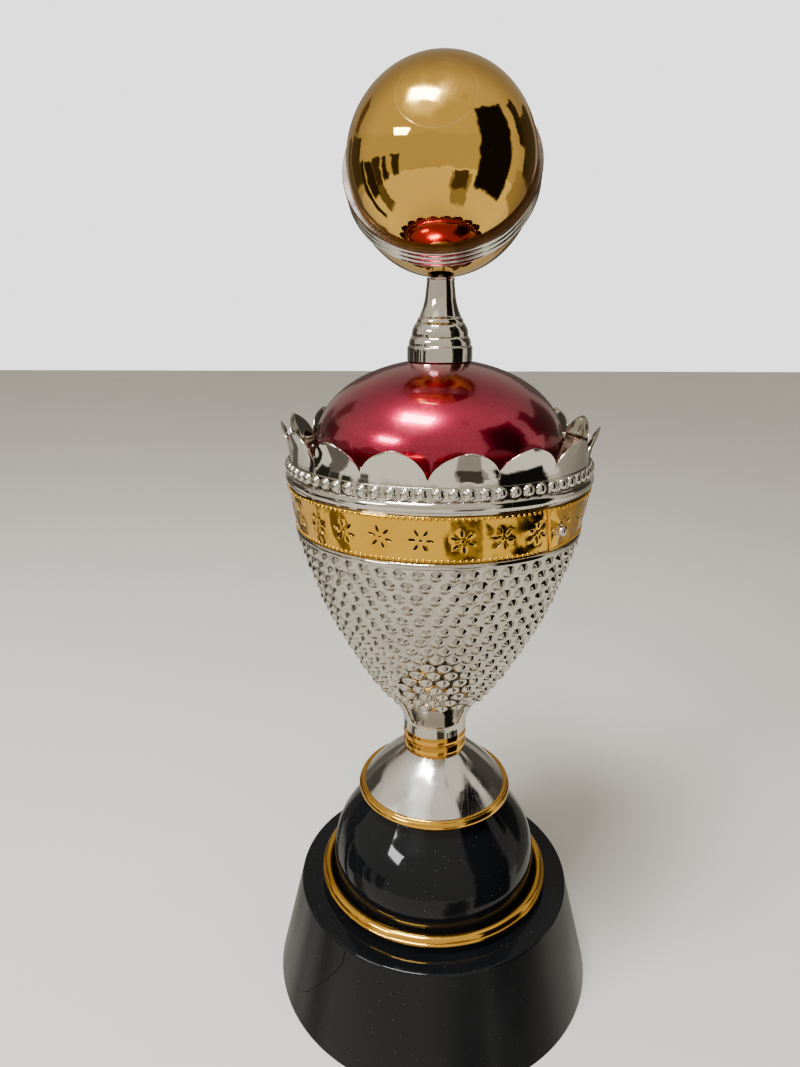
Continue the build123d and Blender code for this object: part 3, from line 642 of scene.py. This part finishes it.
burrs = []
for angle, _ in notches:
    burrs.append((angle + dice.uniform(-0.3, 0.5), dice.uniform(1.6, 4.2), dice.uniform(0.25, 0.45)))
CROWN_ROUND, CROWN_STEPS = 1600, 18
verts = []
for i in range(CROWN_ROUND):
    azimuth = 360 * i / CROWN_ROUND
    top, middle, lean = crown_top(azimuth)
    top += 0.15 * noise.noise(Vector((azimuth * 1.7, 0.5, 2)))
    for angle, tall, wide in burrs:
        off = (azimuth - angle + 180) % 360 - 180
        top += tall * max(0, 1 - abs(off) / wide)
    heights = [RIM_Z + (top - RIM_Z) * (k / CROWN_STEPS) ** 0.8 for k in range(CROWN_STEPS + 1)]
    ripple = 0.25 * noise.noise(Vector((azimuth / 5, 1.5, 8)))
    ripple += 0.006 * noise.noise(Vector((azimuth * 2.2, 4, 1)))
    outer = [(crown_r(z, middle, lean) + CROWN_T + ripple * between(z, 436, 455), z) for z in heights]
    inner = [(r - CROWN_T, z) for r, z in outer]
    edge_r, edge_z = outer[-1]
    outer[-1] = (edge_r, edge_z - 0.15)
    lip = [(edge_r - 0.15, edge_z), (edge_r - CROWN_T + 0.15, edge_z)]
    inner[-1] = (edge_r - CROWN_T, edge_z - 0.15)
    verts += [at(azimuth, r, z) for r, z in outer + lip + inner[::-1]]
crown = new_object("crown_rim", verts, grid_faces(CROWN_ROUND, 2 * CROWN_STEPS + 4), 60)
place(crown, "cup", ["crown"], CHROME)


# ---- beads ----------------------------------------------------------------------------------------
def add_dome(verts, faces, centre, out, up, size, tall, rings, around):
    """A bead: a squashed ball, its pole pointing outwards."""
    side = up.cross(out)
    first = len(verts)
    for i in range(rings + 1):
        polar = math.pi * 0.62 * i / rings
        for j in range(around):
            t = 2 * math.pi * j / around
            flat = (side * math.cos(t) + up * math.sin(t)) * math.sin(polar) * size
            verts.append(centre + flat + out * math.cos(polar) * tall)
    for i in range(rings):
        for j in range(around):
            a, b = first + i * around, first + (i + 1) * around
            faces.append((a + j, a + (j + 1) % around, b + (j + 1) % around, b + j))
    faces.append(tuple(first + rings * around + j for j in range(around)))


dice = random.Random(5)
strip_r = RIM_R + FIT
STRIP_LOW_Z, STRIP_TOP_Z, STRIP_T = 428.9, 437.2, 0.9
strip = rounded([
    (strip_r, STRIP_LOW_Z, 0.1), (strip_r + STRIP_T, STRIP_LOW_Z, 0.2),
    (strip_r + STRIP_T, STRIP_TOP_Z, 0.2), (strip_r, STRIP_TOP_Z, 0.1),
], 3, 0.1)
STRIP_ROUND = 256
verts = [Vector(at(360 * i / STRIP_ROUND, r, z)) for i in range(STRIP_ROUND) for r, z in strip]
faces = grid_faces(STRIP_ROUND, len(strip))
for k in range(BEADS):
    angle = k * 360 / BEADS + dice.uniform(-0.25, 0.25)
    out = Vector(at(angle, 1000, 0))
    size = BEAD_R * MM * dice.uniform(0.93, 1.0)
    centre = Vector(at(angle, BEAD_PITCH_R + 1.0, BEAD_Z + dice.uniform(-0.15, 0.15)))
    add_dome(verts, faces, centre, out, Vector((0, 0, 1)), size, (BEAD_R - 1.0) * MM, 9, 24)
beads = new_object("pearl_strip", verts, faces, 50)
place(beads, "cup", ["bead_strip"], CHROME)

# ---- pierced band ---------------------------------------------------------------------------------
# The hidden lap is shorter than in CAD, because the real band has a flower right beside the nut.
FLOWERS, FIRST_FLOWER = 26, -5.4
SEAM_ANGLE, SEAM_LAP, SEAM_SLANT = 41.0, 4.5, 5.4
PETALS, PETAL_MID, PETAL_LONG, PETAL_WIDE, EYE_R = 6, 5.4, 4.6, 1.75, 0.9
NUT_ANGLE = 44.0
mid_z = (BAND_LOW_Z + BAND_TOP_Z) / 2
band_mid_r = (BAND_LOW_R + BAND_TOP_R) / 2 + FIT + STRAP_T
per_degree = math.pi * band_mid_r / 180
half_height = (BAND_TOP_Z - BAND_LOW_Z) / 2


def band_point(u, v, lift=0.0):
    """Point of the strap's outer face: u in mm along it from the visible end, v in mm above its middle."""
    slant = -SEAM_SLANT * v / (2 * half_height) * (1 - between(u, 0, 30))
    azimuth = SEAM_ANGLE + slant + u / per_degree
    base = (BAND_LOW_R + BAND_TOP_R) / 2 + (BAND_TOP_R - BAND_LOW_R) * v / (2 * half_height)
    over = (STRAP_T + 0.1) * (1 - between(u / per_degree, SEAM_LAP, SEAM_LAP + 5))
    bulge = 0.5 * math.sin(math.pi * min(u / 20, 1)) * (1 - (v / half_height) ** 2) * between(u, 0, 2)
    dent = 0.55 * noise.noise(Vector((azimuth / 5.5, v / 16, 6)))
    dent += 0.16 * noise.noise(Vector((azimuth / 1.6, v / 5, 1)))
    dent *= 1 - between(abs(v), half_height - 4, half_height - 1)
    radius = base + FIT + STRAP_T + over + bulge + dent + lift
    return Vector(at(azimuth, radius, mid_z + v))


def ellipse(cu, cv, long, wide, turn, count):
    """Points of an ellipse on the flat strap, its long axis turned by an angle in radians."""
    line = []
    for k in range(count):
        t = 2 * math.pi * k / count
        x, y = long * math.cos(t), wide * math.sin(t)
        u = cu + x * math.cos(turn) - y * math.sin(turn)
        line.append((u, cv + x * math.sin(turn) + y * math.cos(turn)))
    return line


dice = random.Random(11)
band_length = (360 + SEAM_LAP) * per_degree
STEP = 2.0
holes = []
for k in range(FLOWERS):
    azimuth = FIRST_FLOWER + k * 360 / FLOWERS
    u = ((azimuth - SEAM_ANGLE) % 360) * per_degree
    spin = dice.uniform(-0.5, 0.5)
    middle_v = dice.uniform(-0.5, 0.5)
    holes.append((u, middle_v, EYE_R, EYE_R, 0, 14))
    for p in range(PETALS):
        t = spin + p * 2 * math.pi / PETALS
        reach = PETAL_MID * dice.uniform(0.97, 1.03)
        holes.append((
            u + reach * math.cos(t), middle_v + reach * math.sin(t),
            PETAL_LONG / 2 * dice.uniform(0.92, 1.06), PETAL_WIDE / 2 * dice.uniform(0.88, 1.1), t, 22,
        ))
NUT_HOLE_R = 2.1
nut_u = (NUT_ANGLE - SEAM_ANGLE) * per_degree
holes.append((nut_u, 0.0, NUT_HOLE_R, NUT_HOLE_R, 0, 24))

flat, edges, loops = [], [], []


def add_loop(line):
    """Adds a closed line to the flat strap and gives the numbers of its points."""
    first = len(flat)
    flat.extend(Vector(p) for p in line)
    ring = list(range(first, first + len(line)))
    edges.extend(zip(ring, ring[1:] + ring[:1]))
    return ring


across = int(band_length / STEP)
upright = int(2 * half_height / STEP)
edge_line = [(band_length * i / across, -half_height) for i in range(across)]
edge_line += [(band_length, -half_height + STEP * i) for i in range(upright)]
edge_line += [(band_length * (1 - i / across), half_height) for i in range(across)]
edge_line += [(0, half_height - STEP * i) for i in range(upright)]
loops.append(add_loop(edge_line))
RIM_RISE = 0.12
raised = set()
for cu, cv, long, wide, turn_angle, count in holes:
    loops.append(add_loop(ellipse(cu, cv, long, wide, turn_angle, count)))
    raised.update(loops[-1])
    raised.update(add_loop(ellipse(cu, cv, long + 0.22, wide + 0.22, turn_angle, count)))
    add_loop(ellipse(cu, cv, long + 0.6, wide + 0.6, turn_angle, count))
for i in range(1, across):
    for j in range(1, upright):
        p = (band_length * i / across, -half_height + STEP * j)
        if all(math.hypot(p[0] - h[0], p[1] - h[1]) > h[2] + 0.9 for h in holes if abs(p[0] - h[0]) < 5):
            flat.append(Vector(p))
out_verts, _, out_faces, from_verts, _, from_faces = delaunay_2d_cdt(flat, edges, loops, 0, 1e-5)
verts = []
for p, sources in zip(out_verts, from_verts):
    verts.append(band_point(p.x, p.y, RIM_RISE if raised.intersection(sources) else 0.0))
faces = [face for face, source in zip(out_faces, from_faces) if source == [0]]
used = sorted({v for face in faces for v in face})
renumber = {v: k for k, v in enumerate(used)}
faces = [[renumber[v] for v in face] for face in faces]
band = new_object("flower_band", [verts[v] for v in used], faces, 40)
outward = sum(1 if p.normal.dot(Vector((p.center.x, p.center.y, 0))) > 0 else -1 for p in band.data.polygons)
if outward < 0:
    band.data.flip_normals()
solid = band.modifiers.new("thickness", "SOLIDIFY")
solid.thickness = STRAP_T * MM
solid.offset = -1
place(band, "cup", ["band"], BAND_GOLD)

BEADING_PITCH = 3.8
verts, faces = [], []
for v in (-half_height + 1.5, half_height - 1.5):
    for k in range(int(band_length / BEADING_PITCH)):
        u = (k + 0.5) * BEADING_PITCH
        if u > 358 * per_degree:
            continue
        centre = band_point(u, v, -0.35)
        out = Vector((centre.x, centre.y, 0)).normalized()
        add_dome(verts, faces, centre, out, Vector((0, 0, 1)), 1.2 * MM, 1.15 * MM, 4, 12)
beading = new_object("band_beading", verts, faces, 60)
place(beading, "cup", [], BAND_GOLD)


# ---- lid ------------------------------------------------------------------------------------------
def dome(half_width, rise, low, high, count):
    """Points of an elliptical dome, between two angles in degrees from its top."""
    angles = [math.radians(low + (high - low) * i / count) for i in range(count + 1)]
    return [(half_width * math.sin(t), LID_SPRING_Z + rise * math.cos(t)) for t in angles]


lid = lathe("lid_shell", dome(LID_R, LID_RISE, 1.8, 90, 48) + [
    (85.5, 432.4), (85.8, 431.8), (86.3, 431.5),
    (101.2, 431.5), (101.5, 431.3), (101.5, 430.7), (101.2, 430.5), (84.5, 430.5),
] + dome(LID_R - 1, LID_RISE - 1, 90, 1.8, 30), 320)
place(lid, "lid", ["lid_dome"], RED)

# ---- finial column --------------------------------------------------------------------------------
column = lathe("column_shell", [
    (19.9, 501.5), (22.0, 501.5), (22.2, 501.7), (22.2, 506.0), (22.2, 510.2),
    *arc((22.2, 510.2), (21.9, 510.9), (21.3, 511.2), 6), (21.0, 511.7),
    *arc((21.0, 511.7), (20.8, 514.6), (19.8, 516.9), 8), (19.1, 517.6), (19.1, 518.1),
    *arc((19.1, 518.1), (18.6, 522.0), (16.8, 525.7), 8), (15.8, 526.6), (15.7, 527.2),
    *arc((15.7, 527.2), (15.2, 528.8), (14.2, 530.0), 6),
    *flow([(14.2, 530.0), (12.2, 535.0), (10.6, 541.0), (9.7, 548.0), (9.1, 553.2)], 6),
    (9.4, 553.6), (9.4, 554.6), (9.2, 554.8), (M5_HOLE_R, 554.8), (M5_HOLE_R, 550.8),
    (7.8, 550.8), (8.5, 545.0), (11.0, 532.0), (13.6, 525.0), (16.6, 516.0), (19.9, 508.0),
], 192)
place(column, "finial", ["finial_column"], CHROME)

# ---- ball -----------------------------------------------------------------------------------------
seam_up = seam_axis.cross(seam_side)
turn_to_axis = Matrix((seam_side, seam_up, seam_axis)).transposed()
front_matrix = Matrix.Translation(ball_centre) @ turn_to_axis.to_4x4()
rear_matrix = front_matrix @ Matrix.Rotation(math.pi, 4, "X")


def half_ball():
    """Half shell, open at its equator, with a rounded edge."""
    seat = SEAM_HALF + FIT
    outside = [math.radians(0.05 + 89.6 * i / 90) for i in range(91)]
    inside = [math.radians(89.5 - 89.4 * i / 60) for i in range(61)]
    line = [(BALL_R * math.sin(t), seat + BALL_R * math.cos(t)) for t in outside]
    line += [(BALL_R - 0.12, seat + 0.06), (BALL_R - 0.3, seat), (BALL_R - 0.85, seat)]
    return line + [((BALL_R - 1) * math.sin(t), seat + (BALL_R - 1) * math.cos(t)) for t in inside]


front = lathe("ball_front_shell", half_ball(), 256, front_matrix)
place(front, "finial", ["ball_front"], BALL_GOLD)
rear = lathe("ball_rear_shell", half_ball(), 256, rear_matrix)
place(rear, "finial", ["ball_rear"], BALL_GOLD)

RIDGES, LIP_H = 3, 3.0
groove_r, ridge_h = SEAM_R - 1.1, (2 * SEAM_HALF - LIP_H) / RIDGES
ring_line = [(58.35, SEAM_HALF), (groove_r + 0.5, SEAM_HALF)]
ring_line += arc(ring_line[-1], (SEAM_R, SEAM_HALF - LIP_H / 2), (groove_r, SEAM_HALF - LIP_H), 14)
for k in range(RIDGES):
    high = SEAM_HALF - LIP_H - k * ridge_h
    ring_line += arc((groove_r, high), (SEAM_R - 0.1, high - ridge_h / 2), (groove_r, high - ridge_h), 14)
ring_line += [(58.35, -SEAM_HALF), (58.35, -12.96), (57.15, -12.96), (57.15, 12.96), (58.35, 12.96)]
seam_ring = lathe("seam_ring_shell", ring_line, 256, front_matrix)
place(seam_ring, "finial", ["ball_seam_ring"], CHROME)
seam_ring.data.materials.append(LIP_BROWN)
for face in seam_ring.data.polygons:
    along = (face.center - ball_centre).dot(seam_axis) / MM
    if along > SEAM_HALF - LIP_H:
        face.material_index = 1


# ---- CAD nodes that show as they are --------------------------------------------------------------
def dress(name, material):
    """A CAD node with a better material."""
    nodes[name].data.materials.clear()
    nodes[name].data.materials.append(material)


for name in (
    "base_washer", "base_nut", "tie_rod", "bowl_washer", "bowl_nut", "lid_washer", "lid_nut",
    "finial_rod", "ball_washer", "ball_nut", "band_screw",
):
    dress(name, ZINC)
dress("base_board", BOARD)
dress("band_nut", CHROME)
dress("lid_locating_ring", RED)

# ---- floor and light ------------------------------------------------------------------------------
floor_finish = Finish("studio_floor", (0.72, 0.70, 0.66), 0.0, 0.5)
floor_finish.colour(floor_finish.mix(floor_finish.noise(3, 3), (0.70, 0.685, 0.65), (0.76, 0.745, 0.71)))
floor = new_object("studio_floor", [(-6, -6, 0), (6, -6, 0), (6, 6, 0), (-6, 6, 0)], [(0, 1, 2, 3)])
floor.data.materials.append(floor_finish.material)
floor.visible_glossy = False


def area_light(name, position, width, depth, turned, watts):
    """A soft panel that shines straight down, turned by an angle in degrees about the vertical."""
    data = bpy.data.lights.new(name, "AREA")
    data.shape = "RECTANGLE"
    data.size, data.size_y, data.energy = width, depth, watts
    obj = bpy.data.objects.new(name, data)
    obj.matrix_world = Matrix.Translation(position) @ Matrix.Rotation(math.radians(turned), 4, "Z")
    bpy.context.scene.collection.objects.link(obj)


# What polished metal sees round the object: angle from the front, half width, lowest and highest
# edge as the sine of the angle above the horizon, and colour.
PATCHES = (
    (26, 12, -0.78, -0.34, (0.42, 0.385, 0.33)),
    (-84, 7, -0.62, -0.3, (0.18, 0.16, 0.135)),
    (66, 20, -0.52, 0.69, (0.01, 0.009, 0.008)),
    (109, 6, 0.22, 0.62, (0.012, 0.011, 0.01)),
    (126, 24, -0.42, -0.08, (0.46, 0.42, 0.35)),
    (128, 14, -0.08, 0.48, (0.03, 0.027, 0.022)),
    (25, 8, -0.56, -0.3, (0.09, 0.07, 0.05)),
    (-95, 6, -0.4, 0.02, (0.03, 0.027, 0.023)),
    (-82, 5, -0.3, 0.06, (0.06, 0.05, 0.04)),
    (-70, 2, -0.3, 0.03, (0.03, 0.028, 0.025)),
    (-56, 4, -0.26, 0.04, (0.05, 0.045, 0.04)),
    (-128, 5, 0.35, 0.58, (0.2, 0.12, 0.07)),
    (-108, 3, -0.6, 0.05, (0.02, 0.018, 0.015)),
    (-122, 9, -0.12, 0.3, (0.05, 0.045, 0.038)),
    (-140, 6, -0.55, 0.26, (0.16, 0.145, 0.12)),
    (176, 20, -0.25, 0.32, (0.12, 0.11, 0.095)),
)
# Soft bright and dark spots: direction, the cosines where each starts and is full, and colour.
GLOWS = (
    ((-0.312, -0.481, 0.819), 0.93, 1.0, (1.7, 1.65, 1.55)),
    ((0.33, -0.42, 0.84), 0.993, 0.997, (0.05, 0.045, 0.04)),
)
area_light("panel_near", (-0.45, -0.65, 2.0), 0.70, 0.38, -29, 56)
area_light("panel_far", (-2.55, -2.25, 2.0), 1.1, 1.1, -51, 135)

world = bpy.data.worlds.new("studio")
bpy.context.scene.world = world
world.use_nodes = True
room = Nodes(world.node_tree, "Generated")
ray = room.place
height = room.node("ShaderNodeSeparateXYZ", Vector=ray).outputs["Z"]
shifted = room.vector("ADD", ray, (3, 1, 0))
warp = room.node("ShaderNodeTexNoise", Vector=shifted, Scale=3.4, Detail=5, Roughness=0.62).outputs["Color"]
centred = room.vector("SUBTRACT", warp, (0.5, 0.5, 0.5))
wavy = room.vector("ADD", ray, room.vector("MULTIPLY", centred, (0.26, 0.26, 0.18)))
around = room.vector("NORMALIZE", room.vector("MULTIPLY", wavy, (1, 1, 0)))
wavy_z = room.node("ShaderNodeSeparateXYZ", Vector=wavy).outputs["Z"]
scene_round = room.mix(room.ramp(height, -1.0, -0.72), (0.86, 0.80, 0.71), (1.12, 1.05, 0.92))
scene_round = room.mix(room.ramp(wavy_z, -0.26, -0.25), scene_round, (0.70, 0.645, 0.54))
scene_round = room.mix(room.ramp(wavy_z, 0.34, 0.36), scene_round, (0.80, 0.73, 0.62))
for azimuth, half, low, high, tone in PATCHES:
    facing = room.vector("DOT_PRODUCT", around, at(azimuth, 1 / MM, 0))
    edge = math.cos(math.radians(half))
    beside = room.ramp(facing, edge - 0.35 * (1 - edge) - 0.002, edge)
    above, below = room.ramp(wavy_z, low - 0.05, low), room.ramp(wavy_z, high, high + 0.02, 1, 0)
    inside = room.maths("MULTIPLY", beside, room.maths("MULTIPLY", above, below))
    scene_round = room.mix(inside, scene_round, tone)
behind = room.ramp(room.vector("DOT_PRODUCT", ray, (0, 1, 0.25)), 0.05, 0.8, 0.0, 0.6)
scene_round = room.mix(behind, scene_round, (0.10, 0.09, 0.075))
for towards, starts, full, tone in GLOWS:
    nearness = room.vector("DOT_PRODUCT", ray, towards)
    scene_round = room.mix(room.ramp(nearness, starts, full), scene_round, tone)
seen = room.node("ShaderNodeLightPath").outputs["Is Camera Ray"]
background = room.tree.nodes["Background"]
room.tree.links.new(room.mix(seen, scene_round, (2.2, 2.2, 2.2)), background.inputs["Color"])

# ---- camera ---------------------------------------------------------------------------------------
CAMERA_AT = Vector((0, -0.52, 0.53729))
PITCH, YAW, ROLL = math.radians(17.0545), math.radians(-2.87), math.radians(0.78)
ahead = Vector((0, math.cos(PITCH), -math.sin(PITCH)))
upward = Vector((0, math.sin(PITCH), math.cos(PITCH)))
right = Vector((1, 0, 0))


def turned_towards(a, b, angle):
    """Two directions at a right angle, the first turned towards the second."""
    return a * math.cos(angle) + b * math.sin(angle), b * math.cos(angle) - a * math.sin(angle)


ahead, right = turned_towards(ahead, right, YAW)
right, upward = turned_towards(right, upward, ROLL)
lens = bpy.data.cameras.new("camera")
lens.sensor_width = 36
lens.lens = 25.093
lens.clip_start = 0.01
camera = bpy.data.objects.new("camera", lens)
camera.matrix_world = Matrix.Translation(CAMERA_AT) @ Matrix((right, upward, -ahead)).transposed().to_4x4()
bpy.context.scene.collection.objects.link(camera)
bpy.context.scene.camera = camera
